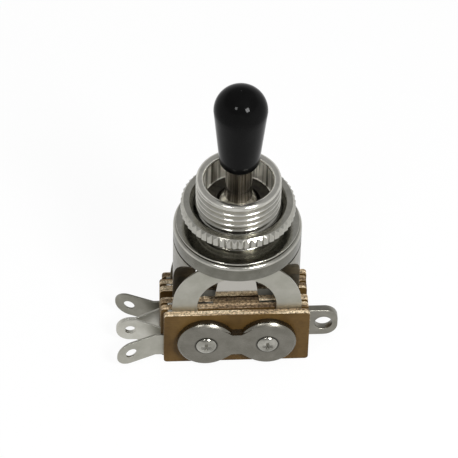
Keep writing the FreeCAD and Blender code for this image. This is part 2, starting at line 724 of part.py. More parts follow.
make_bushing()
make_lever()
make_tip()
make_pivot_pin()
make_cam()
make_washer()
make_nut()
make_bracket()
make_boards()
for side, rear in (("front", False), ("rear", True)):
    make_contact(f"{side}_contact", rear)
    make_leaf(f"{side}_leaf", rear)
    make_clamp_plate(f"{side}_clamp_plate", rear)
make_ground_lug()
for side, sign in (("left", -1), ("right", 1)):
    make_screw(f"{side}_screw", sign)
    make_sleeve(f"{side}_sleeve", sign)
doc.recompute()

for item in doc.Objects:
    if {"Invalid", "Error"} & set(item.State):
        raise RuntimeError(f"{item.Label} ({item.Name}) failed: {item.State}")
os.makedirs("parts", exist_ok=True)
for piece in nodes:
    shape = piece.Shape
    if shape.isNull() or not shape.isValid():
        raise RuntimeError(f"{piece.Label} has no valid shape")
    shape.exportStep(f"parts/{piece.Label}.step")
    box = shape.BoundBox
    print(f"{piece.Label}: {len(shape.Solids)} solid, {shape.Volume:.2f} mm3, "
          f"x {box.XMin:.2f} {box.XMax:.2f}, y {box.YMin:.2f} {box.YMax:.2f}, z {box.ZMin:.2f} {box.ZMax:.2f}")
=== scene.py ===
# %% [markdown]
# A panel toggle selector
#
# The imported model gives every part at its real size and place. This notebook dresses it: turned
# parts are worked out again with threads and knurls, stamped parts get their rounded edges, and
# every surface gets a finish of its own. Lengths are in metres, with the origin on the bushing
# axis in the plane of the flange face, and +Z up towards the lever tip.

# %% Load the frame
import math
import bpy
import bmesh
import numpy as np
from mathutils import Matrix, Vector


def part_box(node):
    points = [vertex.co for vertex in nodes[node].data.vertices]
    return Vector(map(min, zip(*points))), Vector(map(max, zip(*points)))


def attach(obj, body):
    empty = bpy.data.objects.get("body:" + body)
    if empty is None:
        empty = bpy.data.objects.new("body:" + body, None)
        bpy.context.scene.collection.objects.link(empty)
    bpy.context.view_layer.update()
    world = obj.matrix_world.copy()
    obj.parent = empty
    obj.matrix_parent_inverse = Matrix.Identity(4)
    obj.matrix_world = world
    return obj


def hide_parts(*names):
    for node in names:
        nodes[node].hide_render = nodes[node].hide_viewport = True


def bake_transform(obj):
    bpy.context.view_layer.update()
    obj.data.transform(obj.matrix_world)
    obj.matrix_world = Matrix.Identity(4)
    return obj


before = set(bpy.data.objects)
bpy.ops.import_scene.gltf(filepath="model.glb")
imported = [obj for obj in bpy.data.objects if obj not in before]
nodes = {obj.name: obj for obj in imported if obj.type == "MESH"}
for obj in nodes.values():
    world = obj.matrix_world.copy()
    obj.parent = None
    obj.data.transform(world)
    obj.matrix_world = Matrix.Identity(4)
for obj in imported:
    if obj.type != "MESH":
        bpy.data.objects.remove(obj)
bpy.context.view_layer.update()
MM = 0.001
print("parts in the frame:", len(nodes))

# %% [markdown]
# The camera
#
# The picture looks down on the switch at about 46 degrees, a few degrees from its left, through a
# long lens. Those angles and the lens follow from the corners of the front board, the widths of
# the flange and nut, and the holes of the soldering lugs, so they are set once, before any piece.

# %% Camera
PICTURE = 458
SENSOR = 36.0
YAW = math.radians(4.0)
ELEVATION = math.radians(46.0)
ROLL = math.radians(1.49)
DISTANCE = 450 * MM
CLIP_START = 10 * MM
FOCAL_PIXELS = 3189.4
ORIGIN_PIXEL = (237.63, 222.05)


def aim_camera():
    """A camera on a sphere round the origin, turned about its own view line by ROLL.

    The point of the object that lies in the middle of the picture is the origin moved along the
    camera's right and up directions by the pixels that part them.
    """
    back = np.array([-math.sin(YAW) * math.cos(ELEVATION), -math.cos(YAW) * math.cos(ELEVATION),
                     math.sin(ELEVATION)])
    level = np.cross(-back, [0, 0, 1])
    level /= np.linalg.norm(level)
    upright = np.cross(level, -back)
    right = level * math.cos(ROLL) + upright * math.sin(ROLL)
    up = upright * math.cos(ROLL) - level * math.sin(ROLL)
    pixel = DISTANCE / FOCAL_PIXELS
    middle = PICTURE / 2
    target = right * (middle - ORIGIN_PIXEL[0]) * pixel - up * (middle - ORIGIN_PIXEL[1]) * pixel
    lens = bpy.data.cameras.new("camera")
    lens.sensor_width = SENSOR
    lens.lens = FOCAL_PIXELS * SENSOR / PICTURE
    lens.clip_start = CLIP_START
    camera = bpy.data.objects.new("camera", lens)
    columns = np.column_stack([right, up, back])
    turn = Matrix([list(map(float, row)) for row in columns]).to_4x4()
    camera.matrix_world = Matrix.Translation(Vector(target + back * DISTANCE)) @ turn
    bpy.context.scene.collection.objects.link(camera)
    bpy.context.scene.camera = camera
    return back, right, up


to_camera, camera_right, camera_up = aim_camera()
print("camera at", [round(v / MM) for v in bpy.context.scene.camera.location], "mm")

# %% [markdown]
# Tools for shapes
#
# Nearly every new surface here is a grid of points: one parameter runs round the axis and the
# other runs along a profile. The points are worked out as whole arrays, and the faces are the
# four neighbours of each cell.

# %% Meshes from arrays


def new_piece(name, points, faces, material, body="base"):
    """An object from an array of points and an array of faces, shaded smooth."""
    mesh = bpy.data.meshes.new(name)
    mesh.from_pydata(points.tolist(), [], faces.tolist())
    mesh.update()
    mesh.shade_smooth()
    piece = bpy.data.objects.new(name, mesh)
    bpy.context.scene.collection.objects.link(piece)
    piece.data.materials.append(material)
    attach(piece, body)
    return piece


def grid_faces(rings, steps):
    """Four-cornered faces of a grid that closes on itself both ways."""
    ring, step = np.meshgrid(np.arange(rings), np.arange(steps), indexing="ij")
    next_ring, next_step = (ring + 1) % rings, (step + 1) % steps
    corners = [ring * steps + step, next_ring * steps + step,
               next_ring * steps + next_step, ring * steps + next_step]
    return np.stack(corners, axis=-1).reshape(-1, 4)


def rounded_profile(corners, arc_steps=5):
    """A profile through corners (radius, height, rounding), each rounding an arc.

    An arc touches the two runs of its corner at a reach of rounding / tan(half the angle between
    them), and its points lie on a circle round the centre between the two runs.
    """
    points = []
    count = len(corners)
    for index, (r, z, rounding) in enumerate(corners):
        here = np.array([r, z])
        if rounding <= 0:
            points.append(here)
            continue
        before = np.array(corners[index - 1][:2]) - here
        after = np.array(corners[(index + 1) % count][:2]) - here
        before, after = before / np.linalg.norm(before), after / np.linalg.norm(after)
        half = math.acos(np.clip(before @ after, -1, 1)) / 2
        reach = rounding / math.tan(half)
        centre = here + (before + after) / np.linalg.norm(before + after) * rounding / math.sin(half)
        first, last = here + before * reach - centre, here + after * reach - centre
        share = np.linspace(0, 1, arc_steps)[:, None]
        arc = first * (1 - share) + last * share
        points.extend(centre + arc / np.linalg.norm(arc, axis=1)[:, None] * rounding)
    return np.array(points)


def turned(name, profile, material, steps=128, body="base", shape=None):
    """A closed turned piece: each profile point (r, z) runs round the axis.

    shape(r, z, angle) may change the radius, for a thread or a knurl. The profile runs
    anticlockwise in the (r, z) plane, so that the faces point outwards.
    """
    angle = np.linspace(0, 2 * math.pi, steps, endpoint=False)[None, :]
    r = np.repeat(profile[:, :1], steps, axis=1)
    z = np.repeat(profile[:, 1:2], steps, axis=1)
    if shape is not None:
        r = shape(r, z, angle)
    points = np.stack([r * np.cos(angle), r * np.sin(angle), z], axis=-1).reshape(-1, 3)
    faces = grid_faces(len(profile), steps)[:, ::-1]
    return new_piece(name, points, faces, material, body)


def along(start, end, count):
    """Evenly spaced values from start towards end, without the end itself."""
    return np.linspace(start, end, count, endpoint=False)


# %% [markdown]
# Stamped parts
#
# Lugs, arches and boards are cut from sheet, and a punch leaves a small rounding on every edge.
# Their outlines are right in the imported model, so a copy of each is welded, its flat triangles
# are joined to whole faces, and a narrow bevel rounds every sharp edge.

# %% Rounded copies of stamped parts
SHARP = math.radians(28)
FLAT = math.radians(0.6)
WELD = 0.002 * MM
LARGE_FACES_FIRST = 100


def stamped(node, material, edge, segments=2, body="base"):
    """A welded copy of a part of the frame with rounded edges, which stands for it."""
    mesh = nodes[node].data.copy()
    mesh.name = node + "_dressed"
    mesh.materials.clear()
    mesh.materials.append(material)
    bm = bmesh.new()
    bm.from_mesh(mesh)
    bmesh.ops.remove_doubles(bm, verts=bm.verts, dist=WELD)
    bmesh.ops.dissolve_limit(bm, angle_limit=FLAT, verts=bm.verts, edges=bm.edges)
    for face in bm.faces:
        face.material_index = 0
        face.smooth = True
    bm.to_mesh(mesh)
    bm.free()
    piece = bpy.data.objects.new(node + "_dressed", mesh)
    bpy.context.scene.collection.objects.link(piece)
    bevel = piece.modifiers.new("rounded_edges", "BEVEL")
    bevel.width = edge
    bevel.segments = segments
    bevel.limit_method = "ANGLE"
    bevel.angle_limit = SHARP
    bevel.use_clamp_overlap = True
    weighted = piece.modifiers.new("flat_faces", "WEIGHTED_NORMAL")
    weighted.keep_sharp = False
    weighted.weight = LARGE_FACES_FIRST
    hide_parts(node)
    if body:
        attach(piece, body)
    return piece


# %% [markdown]
# Tools for finishes
#
# A finish starts from one shader whose fixed numbers are set on its own sockets. Noise in object
# coordinates then varies the colour and the roughness a little, and gives the height of a bump.
# The node helpers come first, because the world and the floor are lit by the same few nodes.

# %% Node helpers
MIX_SOCKETS = {"FLOAT": (2, 3, 0), "RGBA": (6, 7, 2)}


def feed(tree, value, socket):
    """Join an output to a socket, or set the socket to a plain number or colour."""
    if isinstance(value, bpy.types.NodeSocket):
        tree.links.new(value, socket)
    else:
        socket.default_value = (*value, 1) if isinstance(value, tuple) else value


def maths(tree, operation, *values):
    """One operation on one or two numbers, each plain or an output."""
    node = tree.nodes.new("ShaderNodeMath")
    node.operation = operation
    for value, socket in zip(values, node.inputs):
        feed(tree, value, socket)
    return node.outputs[0]


def largest(tree, value, *others):
    """The largest of several outputs."""
    for other in others:
        value = maths(tree, "MAXIMUM", value, other)
    return value


def mapped(tree, value, start, end, first=0.0, last=1.0, course="LINEAR"):
    """A number that goes from first to last while value goes from start to end."""
    node = tree.nodes.new("ShaderNodeMapRange")
    node.interpolation_type = course
    feed(tree, value, node.inputs["Value"])
    for socket, number in (("From Min", start), ("From Max", end), ("To Min", first), ("To Max", last)):
        node.inputs[socket].default_value = number
    return node.outputs["Result"]


def mixed(tree, kind, factor, first, second, blend="MIX"):
    """Two numbers ("FLOAT") or colours ("RGBA") mixed by a factor, each plain or an output.

    MIX_SOCKETS says which inputs take the two and which output gives the result.
    """
    node = tree.nodes.new("ShaderNodeMix")
    node.data_type = kind
    node.blend_type = blend
    first_socket, second_socket, result = MIX_SOCKETS[kind]
    for value, socket in ((factor, 0), (first, first_socket), (second, second_socket)):
        feed(tree, value, node.inputs[socket])
    return node.outputs[result]


def axes(tree, vector):
    """The outputs "X", "Y" and "Z" of a vector."""
    node = tree.nodes.new("ShaderNodeSeparateXYZ")
    tree.links.new(vector, node.inputs[0])
    return node.outputs


# %% Finishes from nodes


class Finish:
    """A material with one shader, and short calls for the nodes that feed it."""

    def __init__(self, name, **sockets):
        self.material = bpy.data.materials.new(name)
        self.material.use_nodes = True
        self.tree = self.material.node_tree
        self.shader = self.tree.nodes["Principled BSDF"]
        self.place = self.tree.nodes.new("ShaderNodeTexCoord").outputs["Object"]
        for socket, value in sockets.items():
            self.set(socket.replace("_", " "), value)

    def set(self, socket, value):
        """Give a socket of the shader a plain value or an output."""
        feed(self.tree, value, self.shader.inputs[socket])

    def noise(self, scale, detail=3.0, roughness=0.6):
        """Cloudy noise from 0 to 1: scale is its cells for each millimetre, or one such number an axis."""
        mapping = self.tree.nodes.new("ShaderNodeMapping")
        cells = scale if isinstance(scale, tuple) else (scale, scale, scale)
        mapping.inputs["Scale"].default_value = [cell / MM for cell in cells]
        feed(self.tree, self.place, mapping.inputs["Vector"])
        node = self.tree.nodes.new("ShaderNodeTexNoise")
        for socket, value in (("Scale", 1.0), ("Detail", detail), ("Roughness", roughness),
                              ("Vector", mapping.outputs["Vector"])):
            feed(self.tree, value, node.inputs[socket])
        return node.outputs["Fac"]

    def ramp(self, factor, *stops):
        """Colours or greys along a factor: each stop is (position, colour)."""
        node = self.tree.nodes.new("ShaderNodeValToRGB")
        ends = node.color_ramp.elements
        while len(ends) < len(stops):
            ends.new(0.5)
        for end, (position, colour) in zip(ends, stops):
            end.position = position
            end.color = (*colour, 1) if isinstance(colour, tuple) else (colour, colour, colour, 1)
        feed(self.tree, factor, node.inputs["Fac"])
        return node.outputs["Color"]

    def vary(self, socket, factor, *stops):
        """Drive a socket of the shader by a factor, through a ramp."""
        self.set(socket, self.ramp(factor, *stops))

    def mix(self, factor, first, second, blend="MIX"):
        """Two colours mixed by a factor."""
        return mixed(self.tree, "RGBA", factor, first, second, blend)

    def bump(self, height, depth):
        """A bump of a real depth in metres."""
        node = self.tree.nodes.new("ShaderNodeBump")
        node.inputs["Strength"].default_value = 1.0
        node.inputs["Distance"].default_value = depth
        feed(self.tree, height, node.inputs["Height"])
        self.set("Normal", node.outputs["Normal"])


# %% [markdown]
# Metals
#
# Bright nickel covers the turned brass: it mirrors, with a faint cloudiness, and its copy on the
# neck is painted lighter as painted highlight. The flange's rim is ground and so duller, and its
# copy is painted darker as painted shade. The bracket is a plated casting with a satin skin, the
# clamp plates are sheet with a dull plate whose dark colour is painted shade, and the contacts
# are nickel silver, whose rolled surface scatters light along its length. The leaves are polished
# above the stack. The lever's rod and the wall of the mouth carry upright streaks of painted
# reflection in their colour; the ball in the mouth is painted bright as painted highlight, and the
# floor round it is painted near-black as painted shade.
#
# The distance from a screw, for the shadow that its head throws on the clamp plate, is the root of
# (|x| - half the screws' spacing)^2 + (z - the screws' height)^2.

# %% Metal finishes
SCREW_LOW, SCREW_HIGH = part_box("right_screw")
SCREW_SPREAD = (SCREW_LOW.x + SCREW_HIGH.x) / 2
SCREW_HEIGHT = (SCREW_LOW.z + SCREW_HIGH.z) / 2
STACK_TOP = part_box("front_core_spacer")[1].z


def bright_nickel(name, dark, light, smooth, rough):
    """Mirror-like plate with light handling marks."""
    finish = Finish(name, Metallic=1.0)
    finish.vary("Base Color", finish.noise(0.8, 4), (0.3, dark), (0.7, light))
    finish.vary("Roughness", finish.noise(3, 5), (0.35, smooth), (0.75, rough))
    finish.bump(finish.noise(6, 4), 0.004 * MM)
    return finish.material


def screw_shadow(finish, inner, outer, shade):
    """A factor that rises from shade to 1 between two distances from either screw."""
    place = axes(finish.tree, finish.place)
    across = maths(finish.tree, "SUBTRACT", maths(finish.tree, "ABSOLUTE", place["X"]), SCREW_SPREAD)
    rise = maths(finish.tree, "SUBTRACT", place["Z"], SCREW_HEIGHT)
    squares = [maths(finish.tree, "MULTIPLY", part, part) for part in (across, rise)]
    away = maths(finish.tree, "SQRT", maths(finish.tree, "ADD", *squares))
    return mapped(finish.tree, away, inner, outer, shade, 1.0)


def rolled_sheet(name, dark, light, smooth, rough, grain, shadow=None):
    """Rolled and plated sheet: fine lines along one direction over soft clouds."""
    finish = Finish(name, Metallic=1.0)
    colour = finish.ramp(finish.noise(0.5, 4), (0.3, dark), (0.7, light))
    if shadow:
        colour = finish.mix(1.0, colour, screw_shadow(finish, *shadow), "MULTIPLY")
    finish.set("Base Color", colour)
    lines = finish.noise(grain, 3, 0.7)
    finish.vary("Roughness", lines, (0.3, smooth), (0.7, rough))
    finish.bump(lines, 0.003 * MM)
    return finish.material


def leaf_sheet():
    """Spring sheet: satin where it is clamped and soldered, polished on the tongue above the stack."""
    finish = Finish("leaf_sheet", Metallic=1.0)
    height = axes(finish.tree, finish.place)["Z"]
    tongue = mapped(finish.tree, height, STACK_TOP - 0.3 * MM, STACK_TOP + 0.1 * MM)
    lines = finish.noise((0.7, 6, 6), 3, 0.7)
    satin = finish.ramp(lines, (0.3, 0.32), (0.7, 0.44))
    polished = finish.ramp(lines, (0.3, 0.07), (0.7, 0.13))
    finish.set("Roughness", finish.mix(tongue, satin, polished))
    clouds = finish.ramp(finish.noise(0.5, 4), (0.3, (0.46, 0.45, 0.40)), (0.7, (0.55, 0.54, 0.49)))
    finish.set("Base Color", finish.mix(tongue, clouds, (0.43, 0.415, 0.38)))
    finish.bump(lines, 0.002 * MM)
    return finish.material


def dark_rod():
    """Polished steel rod with upright streaks of painted reflection in its colour, light and dark; fine lines
    run along it in the bump.
    """
    finish = Finish("dark_rod", Metallic=1.0)
    painted_streaks = finish.noise((1.3, 1.3, 0.05), 2)
    finish.vary("Base Color", painted_streaks, (0.35, (0.16, 0.145, 0.125)), (0.62, (0.46, 0.43, 0.39)))
    finish.vary("Roughness", finish.noise(3, 4), (0.3, 0.14), (0.7, 0.22))
    finish.bump(finish.noise((6, 6, 0.4), 3), 0.002 * MM)
    return finish.material


def bored_nickel():
    """Plated wall of the bore: upright streaks, light and dark, painted in its colour as painted reflection;
    in roughness and bump they stand for the marks a reamer leaves.
    """
    finish = Finish("bored_nickel", Metallic=0.6)
    painted_streaks = finish.noise((1.5, 1.5, 0.06), 2)
    finish.vary("Base Color", painted_streaks, (0.40, (0.24, 0.23, 0.19)), (0.56, (0.98, 0.96, 0.88)))
    finish.vary("Roughness", painted_streaks, (0.3, 0.26), (0.7, 0.38))
    finish.bump(painted_streaks, 0.01 * MM)
    return finish.material


def painted_bright_ball():
    """The ball's dome, painted far lighter than the other nickel as painted highlight, so that it is the
    brightest thing in the shaded mouth.
    """
    finish = Finish("painted_bright_ball", Metallic=1.0)
    finish.vary("Base Color", finish.noise(1.6, 2), (0.3, (0.80, 0.78, 0.72)), (0.7, (0.92, 0.90, 0.84)))
    finish.vary("Roughness", finish.noise(2, 3), (0.35, 0.20), (0.75, 0.30))
    finish.bump(finish.noise(5, 3), 0.003 * MM)
    return finish.material


def painted_shade_bore():
    """The floor round the ball, painted near-black as painted shade, dull with grease, which needs no bump.
    """
    finish = Finish("painted_shade_bore", Metallic=0.6)
    clouds = finish.noise(1.5, 3)
    finish.vary("Base Color", clouds, (0.3, (0.012, 0.010, 0.008)), (0.7, (0.05, 0.045, 0.035)))
    finish.vary("Roughness", finish.noise(4, 3), (0.3, 0.3), (0.7, 0.5))
    return finish.material


def cast_alloy():
    """Plated casting: a satin skin with a soft grain and small pits."""
    finish = Finish("cast_alloy", Metallic=1.0)
    finish.vary("Base Color", finish.noise(0.6, 4), (0.3, (0.19, 0.182, 0.155)), (0.7, (0.26, 0.25, 0.217)))
    finish.vary("Roughness", finish.noise(4, 4), (0.35, 0.30), (0.75, 0.42))
    finish.bump(finish.noise(7, 5, 0.7), 0.012 * MM)
    return finish.material


def shaded_satin_nickel():
    """The flange's rim: the same plate over a finely ground surface, so it is duller; its darker colour is
    painted shade.
    """
    finish = Finish("shaded_satin_nickel", Metallic=1.0)
    finish.vary("Base Color", finish.noise(0.7, 4), (0.3, (0.13, 0.127, 0.105)), (0.7, (0.18, 0.175, 0.15)))
    finish.vary("Roughness", finish.noise((1, 1, 8), 4), (0.3, 0.26), (0.7, 0.38))
    finish.bump(finish.noise((2, 2, 10), 4), 0.004 * MM)
    return finish.material


ROLLING = (0.7, 6, 6)
NICKEL = bright_nickel("bright_nickel", (0.34, 0.335, 0.30), (0.42, 0.41, 0.37), 0.13, 0.24)
# The neck's copy of the nickel is painted lighter, as painted highlight on the thread.
LIT_NECK_NICKEL = bright_nickel("lit_neck_nickel", (0.46, 0.45, 0.41), (0.55, 0.54, 0.495), 0.15, 0.25)
CAST = cast_alloy()
# The clamp plates' dark colour is painted shade, for the shaded floor that they mirror; the ring round each
# screw is a painted shadow.
SHADED_CLAMP_SHEET = rolled_sheet("shaded_clamp_sheet", (0.145, 0.138, 0.116), (0.20, 0.19, 0.165), 0.24, 0.34,
                           (0.6, 5, 5), shadow=(1.52 * MM, 1.8 * MM, 0.12))
CONTACT_SHEET = rolled_sheet("contact_sheet", (0.33, 0.325, 0.28), (0.40, 0.39, 0.345), 0.32, 0.44, ROLLING)
# The rear contact's finish is the contact finish made darker.
DARKER_CONTACT_SHEET = rolled_sheet("darker_contact_sheet", (0.20, 0.193, 0.162), (0.27, 0.262, 0.225), 0.32, 0.44, ROLLING)
LEAF_SHEET = leaf_sheet()
SCREW_STEEL = rolled_sheet("screw_steel", (0.18, 0.175, 0.15), (0.42, 0.41, 0.37), 0.08, 0.13, (3, 3, 3))
ROD = dark_rod()
BORE_WALL = bored_nickel()
BORE_FLOOR = painted_shade_bore()
BALL_PAINTED_BRIGHT = painted_bright_ball()
SHADED_FLANGE_RIM = shaded_satin_nickel()

# %% [markdown]
# Plastics and boards
#
# The tip is moulded in glossy black, the cam in natural nylon. The boards are paper laid in
# resin: their faces are brown with a soft sheen and darker clouds, while the sawn edges are
# paler, and show the layers of paper as fine speckled lines.

# %% Plastic and board finishes


def tip_black():
    """Glossy black moulding with very faint unevenness."""
    finish = Finish("tip_black", Roughness=0.08, Specular_IOR_Level=0.05)
    finish.vary("Base Color", finish.noise(0.5), (0.3, 0.002), (0.7, 0.0035))
    finish.bump(finish.noise((1.2, 1.2, 0.6), 2), 0.006 * MM)
    return finish.material


def cam_nylon():
    """Natural nylon, dull and a little cloudy."""
    finish = Finish("cam_nylon", Roughness=0.42)
    finish.vary("Base Color", finish.noise(1), (0.3, (0.62, 0.59, 0.5)), (0.7, (0.72, 0.69, 0.6)))
    finish.bump(finish.noise(5, 3), 0.01 * MM)
    return finish.material


def board_face():
    """Pressed face of a paper board: brown, with darker clouds and short paper fibres."""
    finish = Finish("board_face", Roughness=0.45, Specular_IOR_Level=0.12)
    clouds = finish.ramp(finish.noise(0.22, 5), (0.30, (0.052, 0.027, 0.006)),
                         (0.52, (0.088, 0.049, 0.013)), (0.72, (0.115, 0.067, 0.020)))
    fibres = finish.ramp(finish.noise((1.4, 8, 7), 4, 0.75), (0.3, 0.82), (0.7, 1.12))
    finish.set("Base Color", finish.mix(1.0, clouds, fibres, "MULTIPLY"))
    finish.bump(finish.noise((2.5, 6, 9), 4, 0.7), 0.008 * MM)
    return finish.material


def board_edge():
    """Sawn edge of a paper board: thin layers one behind the other, speckled by torn fibres."""
    finish = Finish("board_edge", Roughness=0.75, Specular_IOR_Level=0.2)
    layers = finish.ramp(finish.noise((0.10, 1.5, 0.10), 1), (0.36, (0.11, 0.072, 0.040)),
                         (0.5, (0.36, 0.265, 0.16)), (0.62, (0.62, 0.51, 0.35)))
    specks = finish.noise((2.6, 3.4, 2.6), 4, 0.75)
    fibres = finish.ramp(specks, (0.40, 0.22), (0.60, 1.5))
    finish.set("Base Color", finish.mix(1.0, layers, fibres, "MULTIPLY"))
    finish.bump(specks, 0.06 * MM)
    return finish.material


def sleeve_fibre():
    """Grey-brown fibre tube."""
    finish = Finish("sleeve_fibre", Roughness=0.6)
    finish.vary("Base Color", finish.noise(2, 4), (0.3, (0.2, 0.14, 0.08)), (0.7, (0.3, 0.22, 0.14)))
    finish.bump(finish.noise(4, 4), 0.01 * MM)
    return finish.material


TIP = tip_black()
NYLON = cam_nylon()
BOARD_FACE = board_face()
BOARD_EDGE = board_edge()
FIBRE = sleeve_fibre()
print("finishes:", len(bpy.data.materials))

# %% [markdown]
# The threaded bushing
#
# It is one turned piece: a flange, a neck with a fine thread, and a wide bored mouth. A thread is
# a helix, so its depth at a point depends on the height less the pitch times the share of a turn.
# Making it by a function keeps the crests round and lets the thread fade out under the rim.

# %% Bushing
BUSHING_LOW, BUSHING_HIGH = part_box("bushing")
BUSHING_TOP = BUSHING_HIGH.z
NECK_RADIUS = 6.0 * MM
MOUTH_RADIUS = 4.85 * MM
MOUTH_FLOOR = 4.5 * MM
MOUTH_CORNER = 0.25 * MM
BORE_RADIUS = 3.1 * MM
BORE_EDGE = 0.1 * MM
FLANGE_EDGE = 0.45 * MM
LIP = 0.54 * MM
PITCH = 1.0 * MM
THREAD_DEPTH = 0.65 * MM
THREAD_FADE = 0.25 * MM
THREAD_TOP = BUSHING_TOP - 0.4 * MM
THREAD_BOTTOM = 0.35 * MM
THREAD_RING_STEP = 0.055 * MM
CLOSE = 0.01 * MM
WALL_OUTSIDE = MOUTH_RADIUS + 0.02 * MM
WALL_TOP = BUSHING_TOP - 0.7 * MM
FLOOR_OUTSIDE = MOUTH_RADIUS - 0.1 * MM
FLOOR_TOP = MOUTH_FLOOR + 0.1 * MM
RIM_TOP = -0.4 * MM
RIM_INSIDE = BORE_RADIUS + 0.2 * MM


def thread(r, z, angle):
    """Radius less a wave that climbs one pitch a turn and fades out at both ends of the neck."""
    fraction = (z / PITCH - angle / (2 * math.pi)) % 1.0
    groove = 0.5 + 0.5 * np.cos(2 * math.pi * fraction)
    fade = np.clip((THREAD_TOP - z) / THREAD_FADE, 0, 1) * np.clip((z - THREAD_BOTTOM) / THREAD_FADE, 0, 1)
    on_neck = (r > NECK_RADIUS - CLOSE) & (r < NECK_RADIUS + CLOSE)
    return np.where(on_neck, r - THREAD_DEPTH * groove * fade, r)


def bushing_profile():
    """Anticlockwise profile: bore, flange, neck with many points for the thread, mouth."""
    outline = rounded_profile([
        (BORE_RADIUS, BUSHING_LOW.z, BORE_EDGE), (BUSHING_HIGH.x, BUSHING_LOW.z, FLANGE_EDGE),
        (BUSHING_HIGH.x, 0, FLANGE_EDGE), (NECK_RADIUS, 0, 0), (NECK_RADIUS, BUSHING_TOP, LIP),
        (MOUTH_RADIUS, BUSHING_TOP, LIP), (MOUTH_RADIUS, MOUTH_FLOOR, MOUTH_CORNER),
        (BORE_RADIUS, MOUTH_FLOOR, BORE_EDGE)], arc_steps=6)
    foot = int(np.argmin(np.hypot(outline[:, 0] - NECK_RADIUS, outline[:, 1])))
    heights = np.arange(THREAD_BOTTOM, BUSHING_TOP - LIP, THREAD_RING_STEP)
    neck = np.column_stack([np.full_like(heights, NECK_RADIUS), heights])
    return np.vstack([outline[:foot + 1], neck, outline[foot + 1:]])


def finish_faces(piece, finishes):
    """Give faces another finish by a test of their middles: each row is (finish, test(r, z))."""
    count = len(piece.data.polygons)
    middles = np.zeros(count * 3, np.float32)
    piece.data.polygons.foreach_get("center", middles)
    x, y, z = middles.reshape(-1, 3).T
    chosen = np.zeros(count, np.int32)
    for finish, test in finishes:
        piece.data.materials.append(finish)
        chosen[test(np.hypot(x, y), z)] = len(piece.data.materials) - 1
    piece.data.polygons.foreach_set("material_index", chosen)


bushing = turned("bushing_dressed", bushing_profile(), NICKEL, steps=180, shape=thread)
finish_faces(bushing, [
    (LIT_NECK_NICKEL, lambda r, z: (z > MOUTH_FLOOR) & (r > WALL_OUTSIDE)),
    (SHADED_FLANGE_RIM, lambda r, z: (z < RIM_TOP) & (r > RIM_INSIDE)),
    (BORE_WALL, lambda r, z: (z < WALL_TOP) & (r < WALL_OUTSIDE) & (z > MOUTH_FLOOR)),
    (BORE_FLOOR, lambda r, z: (r < FLOOR_OUTSIDE) & (z < FLOOR_TOP)),
])
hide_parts("bushing")
print("bushing faces:", len(bushing.data.polygons))

# %% [markdown]
# Washer and knurled nut
#
# The washer is punched, so its rim is drawn up a little and leaves a dark line above the flange.
# The nut's rim is cut by straight V grooves, and a chamfer at each end turns every tooth's end
# into a small bright triangle. The rim is the smaller of two radii, the chamfered profile and the
# groove's own section, so both meet as they do on the lathe.

# %% Washer and nut
WASHER_LOW, WASHER_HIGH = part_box("washer")
WASHER_BORE = 6.15 * MM
WASHER_LIFT = 0.28 * MM
WASHER_SEAT = 7.7 * MM
WASHER_EDGE = 0.09 * MM
HOLE_EDGE = 0.05 * MM
washer = turned("washer_dressed", rounded_profile([
    (WASHER_BORE, WASHER_LOW.z, HOLE_EDGE), (WASHER_SEAT, WASHER_LOW.z, 0),
    (WASHER_HIGH.x, WASHER_LOW.z + WASHER_LIFT, WASHER_EDGE),
    (WASHER_HIGH.x, WASHER_HIGH.z, WASHER_EDGE), (WASHER_BORE, WASHER_HIGH.z, HOLE_EDGE)]), NICKEL, steps=160)
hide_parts("washer")

NUT_LOW, NUT_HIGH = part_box("knurled_nut")
NUT_BORE = 6.05 * MM
NUT_BEVEL = 0.8 * MM
BEVEL_EDGE = 0.08 * MM
NUT_CHAMFER = 0.4 * MM
CHAMFER_POINTS = 6
TEETH = 52
TOOTH_DEPTH = 0.32 * MM
TOOTH_STEPS = 12
TOOTH_STEEPNESS = 1.15
TOOTH_SHARP = math.radians(24)


def knurl(r, z, angle):
    """The smaller of the profile's radius and a zigzag that dips by one tooth depth.

    The zigzag is steeper than it need be and is cut off at 1, which leaves each tooth a flat crest.
    """
    fraction = (angle * TEETH / (2 * math.pi)) % 1.0
    zigzag = np.abs(2 * fraction - 1)
    crest = np.minimum(zigzag * TOOTH_STEEPNESS, 1.0)
    return np.minimum(r, NUT_HIGH.x - TOOTH_DEPTH * (1 - crest))


def nut_profile():
    """Anticlockwise profile with evenly spaced points on both chamfers and on the rim."""
    outer, low, high = NUT_HIGH.x, NUT_LOW.z, NUT_HIGH.z
    chamfer = np.linspace(0, NUT_CHAMFER, CHAMFER_POINTS)
    heights = np.linspace(low + NUT_CHAMFER, high - NUT_CHAMFER, CHAMFER_POINTS)[1:-1]
    bevel = rounded_profile([
        (outer - NUT_CHAMFER, high, 0), (NUT_BORE + NUT_BEVEL, high, BEVEL_EDGE),
        (NUT_BORE, high - NUT_BEVEL, BEVEL_EDGE), (NUT_BORE, low, HOLE_EDGE),
        (outer - NUT_CHAMFER, low, 0)], arc_steps=4)
    return np.vstack([
        np.column_stack([outer - NUT_CHAMFER + chamfer[1:], low + chamfer[1:]]),
        np.column_stack([np.full_like(heights, outer), heights]),
        np.column_stack([outer - chamfer, high - NUT_CHAMFER + chamfer]), bevel[1:]])


nut = turned("nut_dressed", nut_profile(), NICKEL, steps=TEETH * TOOTH_STEPS, shape=knurl)
nut.data.set_sharp_from_angle(angle=TOOTH_SHARP)
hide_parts("knurled_nut")
print("nut faces:", len(nut.data.polygons))

# %% [markdown]
# Lever and tip
#
# The lever is turned from steel: a thin tail, the pivot ball and the rod that carries the tip. The
# tip is a moulding whose round head narrows towards its mouth. Both are profiles carried round the
# axis, and every shoulder has a small rounding that catches the light.

